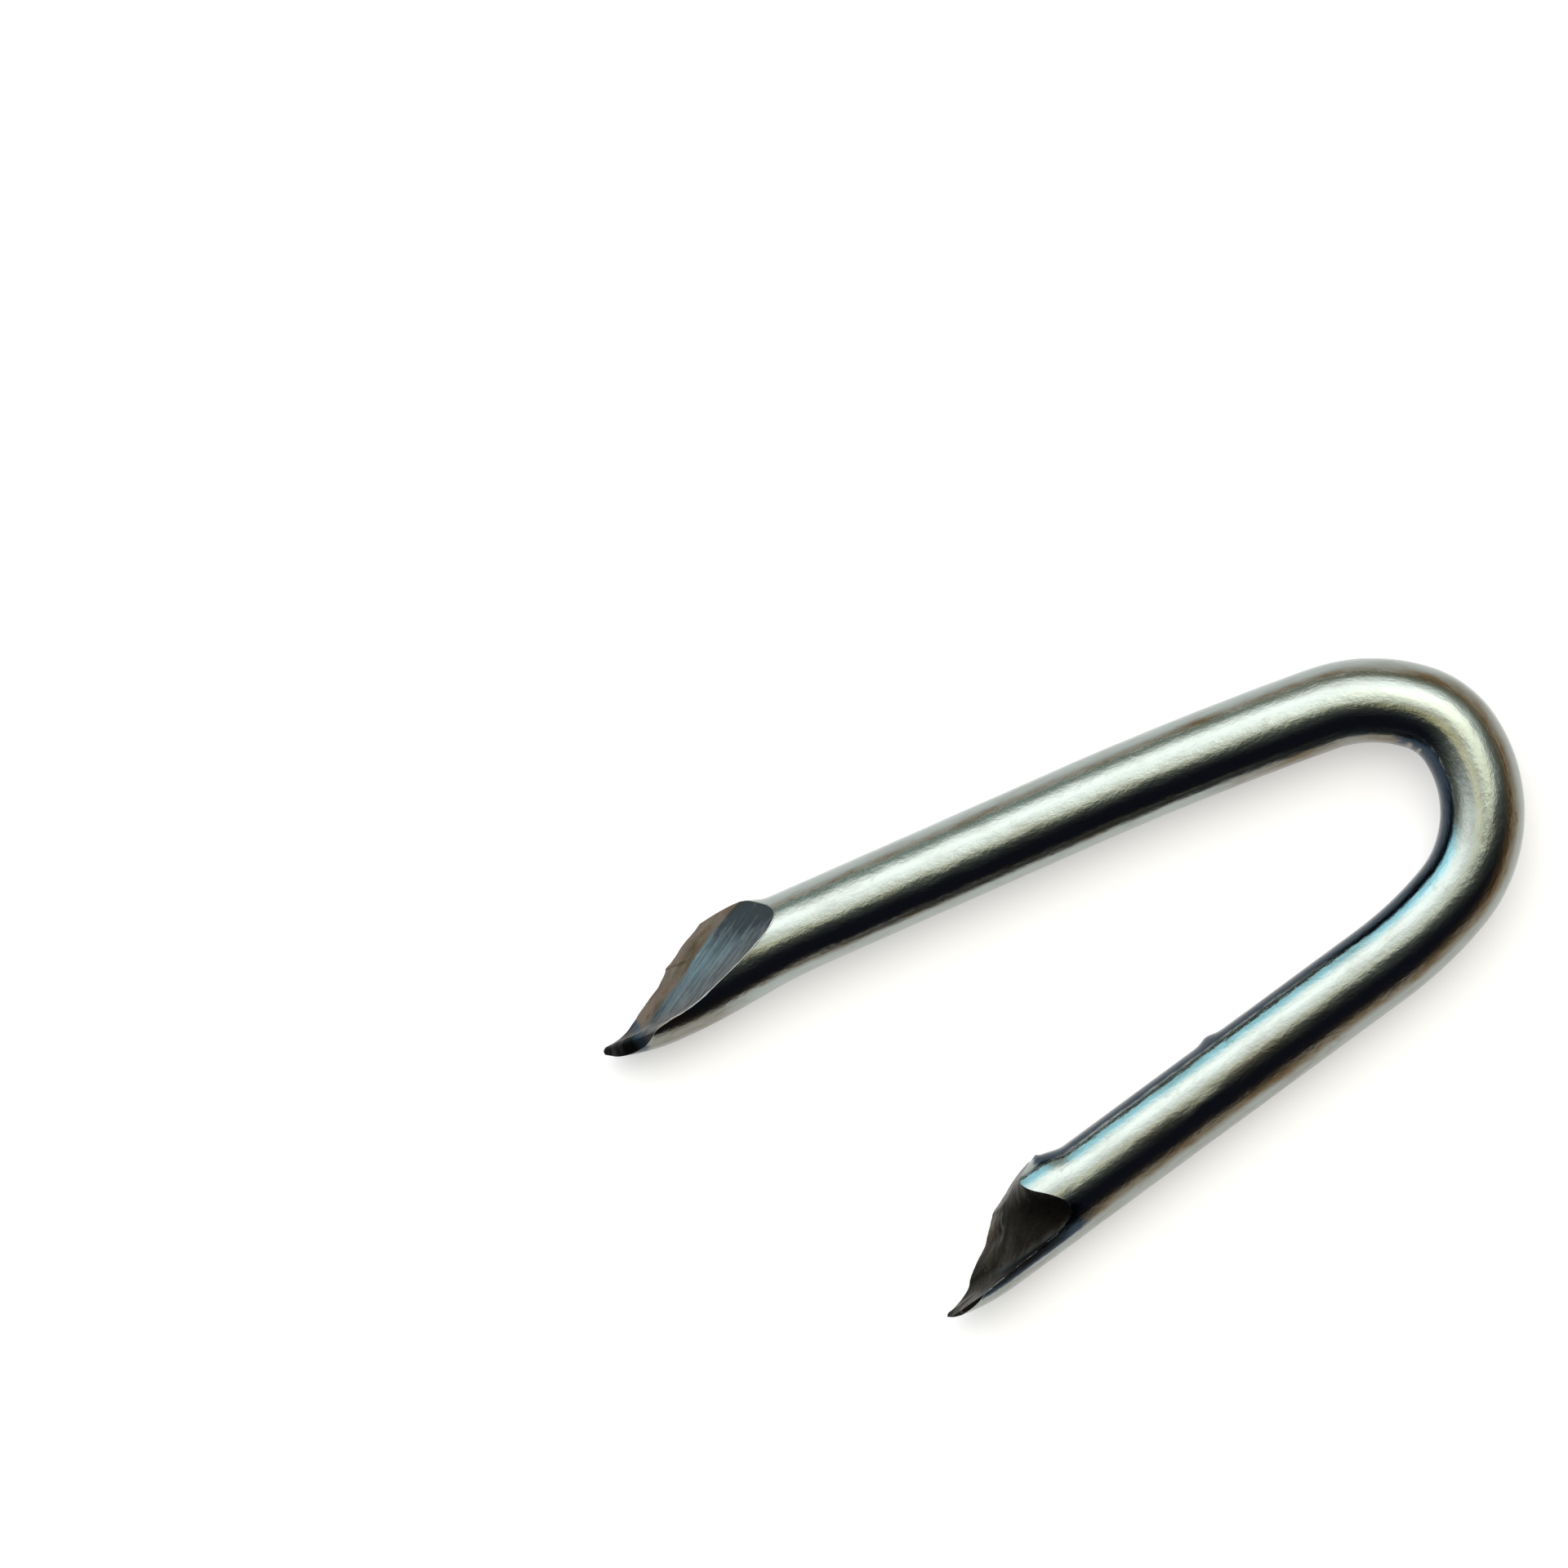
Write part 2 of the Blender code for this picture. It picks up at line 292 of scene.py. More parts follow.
# The wire's surface waves a little, and the bending rolls left the short leg out of round, which starts
# and is full this many millimetres along
UNEVENNESS = 0.006 * MM
WAVE_LENGTH = 1.6 * MM
WAVE_WIDTH = 0.7 * MM
OUT_OF_ROUND = 0.13 * MM
OUT_OF_ROUND_FROM = 50
OUT_OF_ROUND_FULL = 58
# A bump, a burr at the short heel and two scuffed flakes: how far along, degrees round from the top, how
# high, and how long and wide each way, in mm
MARKS = (
    (66.9, -88.0, 0.15, 0.42, 0.6),
    (76.7, -84.0, 0.13, 0.13, 0.45),
    (68.6, 8.0, 0.035, 1.1, 0.2),
    (69.7, 13.0, 0.025, 0.35, 0.16),
)
for vertex in bent_wire.data.vertices:
    inline, left = straightened(vertex.co)
    waves = noise.noise(Vector((inline.x / WAVE_LENGTH, inline.y / WAVE_WIDTH, inline.z / WAVE_WIDTH)))
    outwards = (left * inline.y + Vector((0.0, 0.0, inline.z))).normalized()
    vertex.co += outwards * UNEVENNESS * (waves - 1)
    round_from_top = math.degrees(math.atan2(inline.y, inline.z))
    if inline.z > 0:
        share = eased((inline.x / MM - OUT_OF_ROUND_FROM) / (OUT_OF_ROUND_FULL - OUT_OF_ROUND_FROM))
        vertex.co -= outwards * OUT_OF_ROUND * share * math.sin(math.radians(2 * round_from_top))
    for along, degrees, high, length, width in MARKS:
        lengthwise = (inline.x / MM - along) / length
        sideways = math.radians(round_from_top - degrees) * WIRE_RADIUS / MM / width
        vertex.co += outwards * high * MM * math.exp(-lengthwise * lengthwise - sideways * sideways)


def lay_back(toe, across):
    """The share of a setback that the blade's faces have at a place across the wire."""
    share = max(LEAST_LAY_BACK, 1 - toe["lay_back"] * across / WIRE_RADIUS)
    past_toe = (across - WIRE_RADIUS + toe["thickness"]) / TIP_RADIUS
    return share + (TIP_LAY_BACK - share) * eased(past_toe)


def blade_face(height):
    """How far the blade's face is set back towards the crown, at a height from the wire's middle."""
    if height < LEADING_EDGE_HEIGHT:
        return (LEADING_EDGE_HEIGHT - height) / math.tan(UNDERCUT_RAKE)
    if height < RIDGE_HEIGHT:
        return TORN_BAND_SETBACK * (height - LEADING_EDGE_HEIGHT) / (RIDGE_HEIGHT - LEADING_EDGE_HEIGHT)
    share = (height - RIDGE_HEIGHT) / (BLADE_REACH - RIDGE_HEIGHT)
    hollow = SHEARED_FACE_HOLLOW * 4 * share * (1 - share)
    return TORN_BAND_SETBACK + (height - RIDGE_HEIGHT) / math.tan(SHEARED_FACE_RAKE) + hollow


def evenly(low, high, steps):
    return [low + (high - low) * step / steps for step in range(steps + 1)]


def make_blade(name, toe, edge, tip, outward, own, steels):
    """The shear's blade with its faces, as a solid that takes off all of the leg that it passes. Its own
    place in the noise gives it its own roughness."""
    heel_asides = evenly(BLADE_ASIDE - BLADE_ENTRY, 0.0, HEEL_COLUMNS)[:-1]
    heel_run = [Vector((edge[0].x - aside, -BLADE_ENTRY - aside, 0.0)) for aside in heel_asides]
    toe_places = evenly(edge[-1].y, BLADE_ASIDE, TOE_COLUMNS)[1:]
    toe_run = [Vector((edge[-1].x, place, 0.0)) for place in toe_places]
    columns = heel_run + edge + toe_run
    undercut = evenly(-BLADE_REACH, LEADING_EDGE_HEIGHT, UNDERCUT_ROWS)
    torn = evenly(LEADING_EDGE_HEIGHT, RIDGE_HEIGHT, TORN_ROWS)
    sheared = evenly(RIDGE_HEIGHT, BLADE_REACH, SHEARED_ROWS)
    heights = undercut + torn[1:] + sheared[1:]
    bpy.ops.object.select_all(action="DESELECT")
    bpy.ops.mesh.primitive_grid_add(
        x_subdivisions=len(columns) - 1, y_subdivisions=len(heights) - 1, size=1.0
    )
    blade = bpy.context.object
    blade.name = name
    for vertex in blade.data.vertices:
        column = columns[round((vertex.co.x + 0.5) * (len(columns) - 1))]
        height = heights[round((vertex.co.y + 0.5) * (len(heights) - 1))]
        in_torn = eased((height - TORN_FROM) / (TORN_FULL_FROM - TORN_FROM))
        in_torn *= eased((TORN_TO - height) / (TORN_TO - TORN_FULL_TO))
        grain = Vector((column.x / TORN_GRAIN, column.y / TORN_GRAIN, height / TORN_GRAIN_HEIGHT))
        ragged = noise.fractal(grain + own, *TORN_WAVES)
        scored = noise.noise(Vector((column.y / SCORE_LENGTH, height / SCORE_WIDTH, 0.0)) + own)
        x = column.x - blade_face(height) * lay_back(toe, column.y)
        x += TORN_DEPTH * ragged * in_torn + SCORE_DEPTH * scored * (1 - in_torn)
        for across, out, width in toe["chips"]:
            x += out * MM * math.exp(-((column.y / MM - across) / width) ** 2) * in_torn
        vertex.co = Vector((x, column.y, height))
    for steel in steels:
        blade.data.materials.append(steel)
    ridge_row = len(undercut) + len(torn) - 2
    for face in blade.data.polygons:
        row = min(face.vertices) // len(columns)
        face.material_index = 1 if row < ridge_row else 0
    beyond = RAW_END + BLADE_PAST_TIP
    bpy.ops.object.mode_set(mode="EDIT")
    bpy.ops.mesh.select_all(action="SELECT")
    bpy.ops.mesh.extrude_region_move(TRANSFORM_OT_translate={"value": (beyond, 0.0, 0.0)})
    bpy.ops.transform.resize(value=(0.0, 1.0, 1.0), center_override=(beyond, 0.0, 0.0))
    bpy.ops.mesh.select_all(action="SELECT")
    bpy.ops.mesh.normals_make_consistent(inside=False)
    bpy.ops.object.mode_set(mode="OBJECT")
    blade.location = tip
    blade.rotation_euler.z = outward
    return blade


def shear_off(blade):
    bpy.ops.object.select_all(action="DESELECT")
    bpy.context.view_layer.objects.active = bent_wire
    shear = bent_wire.modifiers.new("shear", "BOOLEAN")
    shear.operation = "DIFFERENCE"
    shear.solver = "EXACT"
    shear.material_mode = "TRANSFER"
    shear.object = blade
    bpy.ops.object.modifier_apply(modifier="shear")
    bpy.data.objects.remove(blade)


# The steel's surface
# Plain bright steel, unplated. The die drew fine lines along it and pressed in scale, the sliced and torn
# ends are bare steel, and all of it has begun to turn brown. A blue-black film and some of the brown are
# painted shade and painted reflection.


def new_group(name, inputs, outputs):
    """A finish that several steels share, with its inputs at their usual values."""
    group = bpy.data.node_groups.new(name, "ShaderNodeTree")
    for socket_name, kind, value in inputs:
        socket = group.interface.new_socket(socket_name, in_out="INPUT", socket_type=kind)
        if value is not None:
            socket.default_value = value
    for socket_name, kind in outputs:
        group.interface.new_socket(socket_name, in_out="OUTPUT", socket_type=kind)
    group.nodes.new("NodeGroupInput")
    group.nodes.new("NodeGroupOutput")
    return group, group.nodes["Group Input"].outputs, group.nodes["Group Output"].inputs


def stretched_noise(group, vector, scale, stretch, detail, roughness):
    """Noise drawn out along the first axis of a pattern."""
    mapping = group.nodes.new("ShaderNodeMapping")
    mapping.inputs["Scale"].default_value = (1.0 / stretch, 1.0, 1.0)
    texture = group.nodes.new("ShaderNodeTexNoise")
    texture.inputs["Detail"].default_value = detail
    texture.inputs["Roughness"].default_value = roughness
    group.links.new(vector, mapping.inputs["Vector"])
    group.links.new(mapping.outputs["Vector"], texture.inputs["Vector"])
    group.links.new(scale, texture.inputs["Scale"])
    return texture.outputs["Fac"]


def calculated(tree, operation, first, second):
    node = tree.nodes.new("ShaderNodeMath")
    node.operation = operation
    for socket, value in zip(node.inputs, (first, second)):
        if isinstance(value, float):
            socket.default_value = value
        else:
            tree.links.new(value, socket)
    return node.outputs[0]


def ramp(tree, value, low, high, interpolation="SMOOTHSTEP"):
    """Goes from 0 at the low value to 1 at the high one."""
    node = tree.nodes.new("ShaderNodeMapRange")
    node.interpolation_type = interpolation
    node.inputs["From Min"].default_value = low
    node.inputs["From Max"].default_value = high
    tree.links.new(value, node.inputs["Value"])
    return node.outputs["Result"]


def mixed(tree, share, first, second):
    """The first colour where the share is 0, and the second where it is 1."""
    node = tree.nodes.new("ShaderNodeMix")
    node.data_type = "RGBA"
    tree.links.new(share, node.inputs["Factor"])
    tree.links.new(first, node.inputs[6])
    tree.links.new(second, node.inputs[7])
    return node.outputs[2]


# Fine lines that run one way, as a die or a blade leaves them
score_lines, given, result = new_group(
    "score_lines",
    (
        ("Vector", "NodeSocketVector", None),
        ("Lines per Metre", "NodeSocketFloat", 7000.0),
    ),
    (("Height", "NodeSocketFloat"), ("Scored", "NodeSocketFloat")),
)
lines = stretched_noise(
    score_lines, given["Vector"], given["Lines per Metre"], stretch=14.0, detail=4.0, roughness=0.6
)
score_lines.links.new(lines, result["Height"])
scored = ramp(score_lines, lines, low=0.35, high=0.65, interpolation="LINEAR")
score_lines.links.new(scored, result["Scored"])

# Small shallow pits and bumps, where scale and grease were pressed into the steel
pitting, given, result = new_group(
    "pitting",
    (
        ("Vector", "NodeSocketVector", None),
        ("Pits per Metre", "NodeSocketFloat", 5200.0),
    ),
    (("Height", "NodeSocketFloat"), ("Pitted", "NodeSocketFloat")),
)
pits = stretched_noise(
    pitting, given["Vector"], given["Pits per Metre"], stretch=1.8, detail=4.0, roughness=0.7
)
pitting.links.new(pits, result["Height"])
pitting.links.new(ramp(pitting, pits, low=0.56, high=0.72), result["Pitted"])

# Brown tarnish in soft patches, stronger where the steel is pitted. Where more is laid on, the steel is
# brown between them too: in part real browning and darkening, in part painted shade and painted reflection
BROWN_BETWEEN_PATCHES = 0.4
tarnish_and_shade, given, result = new_group(
    "tarnish_and_shade",
    (
        ("Vector", "NodeSocketVector", None),
        ("Patches per Metre", "NodeSocketFloat", 900.0),
        ("Clean Colour", "NodeSocketColor", (0.33, 0.335, 0.31, 1.0)),
        ("Brown and Shade Colour", "NodeSocketColor", (0.25, 0.2, 0.13, 1.0)),
        ("Amount", "NodeSocketFloat", 0.5),
        ("Pitted", "NodeSocketFloat", 0.0),
        ("Browning and Painted Shade", "NodeSocketFloat", 0.0),
        ("Scored", "NodeSocketFloat", 0.0),
        ("Streaked", "NodeSocketFloat", 0.0),
    ),
    (("Colour", "NodeSocketColor"), ("Browned and Shaded", "NodeSocketFloat")),
)
patches = stretched_noise(
    tarnish_and_shade, given["Vector"], given["Patches per Metre"], stretch=2.5, detail=5.0, roughness=0.7
)
patchy = ramp(tarnish_and_shade, patches, low=0.45, high=0.75)
spread = calculated(tarnish_and_shade, "MAXIMUM", patchy, given["Pitted"])
spread = calculated(tarnish_and_shade, "MULTIPLY", spread, given["Amount"])
browning_and_painted_shade = calculated(tarnish_and_shade, "ADD", patches, BROWN_BETWEEN_PATCHES)
browning_and_painted_shade = calculated(tarnish_and_shade, "MULTIPLY", given["Browning and Painted Shade"], browning_and_painted_shade)
spread = calculated(tarnish_and_shade, "ADD", spread, browning_and_painted_shade)
streaks = calculated(tarnish_and_shade, "MULTIPLY", given["Scored"], given["Streaked"])
spread = calculated(tarnish_and_shade, "MINIMUM", calculated(tarnish_and_shade, "ADD", spread, streaks), 1.0)
browned = mixed(tarnish_and_shade, spread, given["Clean Colour"], given["Brown and Shade Colour"])
tarnish_and_shade.links.new(browned, result["Colour"])
tarnish_and_shade.links.new(spread, result["Browned and Shaded"])

# A thin blue-black film, broken into specks, and black where it is thick: painted shade on the inner side,
# and a darkening towards both tips
SPECKLE_MIDDLE = 0.5
SPECKLE_SPREAD = 0.9
blackening_and_shade, given, result = new_group(
    "blackening_and_shade",
    (
        ("Vector", "NodeSocketVector", None),
        ("Specks per Metre", "NodeSocketFloat", 2600.0),
        ("Steel Colour", "NodeSocketColor", (0.33, 0.335, 0.31, 1.0)),
        ("Thin Colour", "NodeSocketColor", (0.026, 0.042, 0.062, 1.0)),
        ("Thick Colour", "NodeSocketColor", (0.005, 0.005, 0.005, 1.0)),
        ("Laid On", "NodeSocketFloat", 0.0),
    ),
    (("Colour", "NodeSocketColor"),),
)
specks = stretched_noise(
    blackening_and_shade, given["Vector"], given["Specks per Metre"], stretch=1.6, detail=4.0, roughness=0.65
)
speckled = calculated(blackening_and_shade, "MULTIPLY", calculated(blackening_and_shade, "SUBTRACT", specks, SPECKLE_MIDDLE), SPECKLE_SPREAD)
thick = calculated(blackening_and_shade, "ADD", given["Laid On"], speckled)
built_up = ramp(blackening_and_shade, thick, low=0.9, high=1.7, interpolation="LINEAR")
film = mixed(blackening_and_shade, built_up, given["Thin Colour"], given["Thick Colour"])
covered = ramp(blackening_and_shade, thick, low=0.15, high=0.75)
blackening_and_shade.links.new(mixed(blackening_and_shade, covered, given["Steel Colour"], film), result["Colour"])


def make_steel(name, clean, brown_and_shade_colour, amount, roughness, lines, pits, turn=0.0, streaked=0.0):
    """A bare steel. Its roughness is where it is clean and where it takes its brown and shade colour, its
    lines and pits are a number per metre and a depth in mm, and the turn is the lines' way."""
    material = bpy.data.materials.new(name)
    material.use_nodes = True
    tree = material.node_tree
    shader = tree.nodes["Principled BSDF"]
    shader.inputs["Metallic"].default_value = 1.0
    unbent = tree.nodes.new("ShaderNodeAttribute")
    unbent.attribute_name = "straightened"
    turned = tree.nodes.new("ShaderNodeMapping")
    turned.inputs["Rotation"].default_value = (0.0, 0.0, turn)
    tree.links.new(unbent.outputs["Vector"], turned.inputs["Vector"])
    made = {}
    for group in (score_lines, pitting, tarnish_and_shade, blackening_and_shade):
        node = tree.nodes.new("ShaderNodeGroup")
        node.node_tree = group
        tree.links.new(turned.outputs["Vector"], node.inputs["Vector"])
        made[group.name] = node
    made["score_lines"].inputs["Lines per Metre"].default_value = lines[0]
    made["pitting"].inputs["Pits per Metre"].default_value = pits[0]
    made["tarnish_and_shade"].inputs["Clean Colour"].default_value = (*clean, 1.0)
    made["tarnish_and_shade"].inputs["Brown and Shade Colour"].default_value = (*brown_and_shade_colour, 1.0)
    made["tarnish_and_shade"].inputs["Amount"].default_value = amount
    made["tarnish_and_shade"].inputs["Streaked"].default_value = streaked
    tree.links.new(made["pitting"].outputs["Pitted"], made["tarnish_and_shade"].inputs["Pitted"])
    tree.links.new(made["score_lines"].outputs["Scored"], made["tarnish_and_shade"].inputs["Scored"])
    tree.links.new(made["tarnish_and_shade"].outputs["Colour"], made["blackening_and_shade"].inputs["Steel Colour"])
    tree.links.new(made["blackening_and_shade"].outputs["Colour"], shader.inputs["Base Color"])
    # The laid-on attributes carry painted shade and painted reflection, as well as browning and darkening
    for finish, socket, attribute in (("tarnish_and_shade", "Browning and Painted Shade", "browning_and_painted_shade"), ("blackening_and_shade", "Laid On", "darkening_and_painted_shade")):
        laid = tree.nodes.new("ShaderNodeAttribute")
        laid.attribute_name = attribute
        tree.links.new(laid.outputs["Fac"], made[finish].inputs[socket])
    rougher = tree.nodes.new("ShaderNodeMapRange")
    rougher.inputs["To Min"].default_value = roughness[0]
    rougher.inputs["To Max"].default_value = roughness[1]
    tree.links.new(made["tarnish_and_shade"].outputs["Browned and Shaded"], rougher.inputs["Value"])
    tree.links.new(rougher.outputs["Result"], shader.inputs["Roughness"])
    pit_bump = tree.nodes.new("ShaderNodeBump")
    pit_bump.inputs["Distance"].default_value = pits[1] * MM
    tree.links.new(made["pitting"].outputs["Height"], pit_bump.inputs["Height"])
    line_bump = tree.nodes.new("ShaderNodeBump")
    line_bump.inputs["Distance"].default_value = lines[1] * MM
    tree.links.new(made["score_lines"].outputs["Height"], line_bump.inputs["Height"])
    tree.links.new(pit_bump.outputs["Normal"], line_bump.inputs["Normal"])
    tree.links.new(line_bump.outputs["Normal"], shader.inputs["Normal"])
    return material


drawn_steel = make_steel(
    "drawn_steel", clean=(0.305, 0.342, 0.332), brown_and_shade_colour=(0.12, 0.088, 0.048), amount=0.28,
    roughness=(0.12, 0.26), lines=(6500.0, 0.003), pits=(1500.0, 0.028),
)
sheared_steel = make_steel(
    "sheared_steel", clean=(0.135, 0.138, 0.142), brown_and_shade_colour=(0.034, 0.034, 0.035), amount=0.4,
    roughness=(0.3, 0.42), lines=(6500.0, 0.016), pits=(6000.0, 0.006), turn=-CUT_ANGLE, streaked=0.6,
)
torn_steel = make_steel(
    "torn_steel", clean=(0.165, 0.122, 0.095), brown_and_shade_colour=(0.075, 0.05, 0.028), amount=0.8,
    roughness=(0.4, 0.55), lines=(1500.0, 0.03), pits=(3000.0, 0.05), turn=-CUT_ANGLE, streaked=0.4,
)
# Darker copies of the sliced and torn steels: painted shade on the short point's faces
shaded_sheared_steel = make_steel(
    "shaded_sheared_steel", clean=(0.034, 0.03, 0.027), brown_and_shade_colour=(0.012, 0.011, 0.01), amount=0.5,
    roughness=(0.3, 0.45), lines=(3400.0, 0.02), pits=(4000.0, 0.02), turn=-CUT_ANGLE, streaked=0.7,
)
shaded_torn_steel = make_steel(
    "shaded_torn_steel", clean=(0.018, 0.015, 0.012), brown_and_shade_colour=(0.16, 0.13, 0.08), amount=0.3,
    roughness=(0.35, 0.5), lines=(1500.0, 0.03), pits=(2200.0, 0.06), turn=-CUT_ANGLE,
)
bent_wire.data.materials.append(drawn_steel)


# The cut ends
# Each end is the steel that the blade left standing, and the blade's own faces give it its two
# kinds of bare steel, which are painted darker on the short point as shade. The long leg's sliced face
# keeps a burr down its rounded side.

LONG_ROUGHNESS_PLACE = Vector((3.0, 0.0, 0.0))
SHORT_ROUGHNESS_PLACE = Vector((11.0, 0.0, 0.0))
MERGE_DISTANCE = 0.004 * MM
LEAST_EDGE_LENGTH = 0.001 * MM
CREASE_ANGLE = math.radians(30)

long_tip = wire_line[0][0] + ahead_of(FIRST_HEADING) * RAW_END
long_leg_blade = make_blade(
    "long_leg_blade", LONG_TOE, long_edge, long_tip, FIRST_HEADING + math.pi,
    own=LONG_ROUGHNESS_PLACE, steels=(sheared_steel, torn_steel),
)
shear_off(long_leg_blade)
last_place, last_heading, _ = wire_line[-1]
short_tip = last_place - ahead_of(last_heading) * RAW_END
short_leg_blade = make_blade(
    "short_leg_blade", SHORT_TOE, short_edge, short_tip, last_heading,
    own=SHORT_ROUGHNESS_PLACE, steels=(shaded_sheared_steel, shaded_torn_steel),
)
shear_off(short_leg_blade)

bpy.ops.object.select_all(action="DESELECT")
bent_wire.select_set(True)
bpy.context.view_layer.objects.active = bent_wire
bpy.ops.object.mode_set(mode="EDIT")
bpy.ops.mesh.select_all(action="SELECT")
# The cut leaves its points in an order that changes from run to run, and merging them depends on it
bpy.ops.mesh.sort_elements(type="CURSOR_DISTANCE", elements={"VERT", "EDGE", "FACE"})
bpy.ops.mesh.remove_doubles(threshold=MERGE_DISTANCE)
bpy.ops.mesh.dissolve_degenerate(threshold=LEAST_EDGE_LENGTH)
bpy.ops.mesh.normals_make_consistent(inside=False)
bpy.ops.object.mode_set(mode="OBJECT")

# The thin bright burr, where the sliced face ran out through the round of the long leg
BURR_RADIUS = 0.03 * MM
BURR_END_POINTS = 6
BURR_END_SHARE = 0.2
BURR_UNEVENNESS = 0.8
BURR_WAVES_PER_MM = 2.5
sides = {}
for face in bent_wire.data.polygons:
    for edge in face.edge_keys:
        sides.setdefault(edge, set()).add(bent_wire.data.materials[face.material_index].name)
lip_edges = [edge for edge, steels in sides.items() if steels == {"drawn_steel", "sheared_steel"}]
lip_ends = {end for edge in lip_edges for end in edge}
lip = [bent_wire.data.vertices[number].co.copy() for number in lip_ends]
lip.sort(key=lambda point: straightened(point)[0].y)
# Every other point of the lip, as the mean of the five round it
smooth_lip = [sum(lip[i - 2:i + 3], Vector()) / 5 for i in range(2, len(lip) - 2, 2)]
burr_line = bpy.data.curves.new("burr", "CURVE")
burr_line.dimensions = "3D"
burr_line.bevel_depth = BURR_RADIUS
burr_line.bevel_resolution = 1
burr_line.use_fill_caps = True
spline = burr_line.splines.new("POLY")
spline.points.add(len(smooth_lip) - 1)
for number, (point, place) in enumerate(zip(spline.points, smooth_lip)):
    from_end = min(number, len(smooth_lip) - 1 - number)
    thickness = BURR_END_SHARE + (1 - BURR_END_SHARE) * min(1.0, from_end / BURR_END_POINTS)
    point.co = (*place, 1.0)
    point.radius = thickness * (1.0 + BURR_UNEVENNESS * noise.noise(place / MM * BURR_WAVES_PER_MM))
burr = bpy.data.objects.new("burr", burr_line)
bpy.context.scene.collection.objects.link(burr)
burr_line.materials.append(drawn_steel)
bpy.ops.object.select_all(action="DESELECT")
burr.select_set(True)
bpy.context.view_layer.objects.active = burr
bpy.ops.object.convert(target="MESH")
bent_wire.select_set(True)
bpy.context.view_layer.objects.active = bent_wire
bpy.ops.object.join()
bpy.ops.object.shade_smooth_by_angle(angle=CREASE_ANGLE)


# Dark film, painted shade and brown steel
# A blue-black film is painted shade in the crook and down the short leg's inner side, with none on the
# open sides, and the steel is made black towards both tips. Brown along the sides is painted
# reflection, the crook's brown is painted shade, and the steel is browner by the long tip.

# Each patch has a strength and its fades. A fade is a place where there is none of the patch, and how
# much further on there is all of it, which is below 0 where the patch lies before that place. Along is
# in mm from the long leg's raw end, and outwards and inwards are in degrees round from the top.
# Darkening towards both tips
LONG_TIP_DARKENING = 2.0
LONG_TIP_DARKENING_ALONG = (3.4, -1.3)
SHORT_TIP_DARKENING = 1.7
SHORT_TIP_DARKENING_ALONG = (75.0, 4.0)
SHORT_TIP_DARKENING_OUTWARDS = ((66, -12), (0, 10))
# Painted shade on the inner side of the crook and down the short leg
INNER_PAINTED_SHADE = 0.95
INNER_SHADE_ALONG = ((41.2, 2.4), (77.3, -0.8))
INNER_SHADE_FROM = 38
INNER_SHADE_LOWER_BY = 10
INNER_SHADE_LOWER_ALONG = (57, 5)
INNER_SHADE_FADE = 12
# The chips where the crook's painted shade is left out: how far along, and how long
UNSHADED_CHIPS = ((43.3, 0.28), (44.35, 0.2))
UNSHADED_CHIPS_INWARDS = (56, 8)

# Brown along the sides and round the crown's outer side: painted reflection
REFLECTION_LINE = 0.7
REFLECTION_LINE_ROUND = ((38, 8), (60, -12))
REFLECTION_LINE_INNER_ALONG = (50, -4)
OUTER_REFLECTION_OUTWARDS = (32, 10)
OUTER_REFLECTION_EASED_OFF = 0.75
OUTER_REFLECTION_EASES_OFF = (48, 16)
OUTER_REFLECTION_ALONG = (36, 10)
# Brown in the crook: painted shade
CROOK_PAINTED_SHADE = 0.7
CROOK_SHADE_INWARDS = (40, 8)
CROOK_SHADE_ALONG = ((30, 6), (46, -2))
LONG_TIP_BROWN = 0.6
LONG_TIP_BROWN_INWARDS = (46, 8)
LONG_TIP_BROWN_ALONG = (9, -3)
SCUFF_BROWN = 0.4
SCUFF_MIDDLE = 2
SCUFF_WIDTH = 11
SCUFF_ALONG = ((58, 4), (75, -3))
HEEL_DARK_ALONG = (6.6, 3.4)
HEEL_DARK_ACROSS = (0.2, 1.5)


def faded(value, *fades):
    """The share that is left of a patch at a place, after its fades."""
    share = 1.0
    for start, length in fades:
        share *= eased((value - start) / length)
    return share


def where_darkened_and_painted_shade(inline, steels):
    """How thickly the dark film lies at a place: painted shade on the inner side, darkening by the tips.
    """
    along = inline.x / MM
    outwards = math.degrees(math.atan2(inline.y, inline.z))
    long_tip = LONG_TIP_DARKENING * faded(along, LONG_TIP_DARKENING_ALONG)
    short_tip = 0.0
    if steels == {"drawn_steel"}:
        short_tip = SHORT_TIP_DARKENING * faded(along, SHORT_TIP_DARKENING_ALONG)
        short_tip *= faded(outwards, *SHORT_TIP_DARKENING_OUTWARDS)
    # Painted shade on the inner side
    inner_from = INNER_SHADE_FROM + INNER_SHADE_LOWER_BY * faded(along, INNER_SHADE_LOWER_ALONG)
    inner = faded(-outwards, (inner_from, INNER_SHADE_FADE)) * faded(along, *INNER_SHADE_ALONG)
    unshaded = sum(math.exp(-((along - place) / length) ** 2) for place, length in UNSHADED_CHIPS)
    inner *= 1 - unshaded * faded(-outwards, UNSHADED_CHIPS_INWARDS)
    return max(long_tip, short_tip, INNER_PAINTED_SHADE * inner)


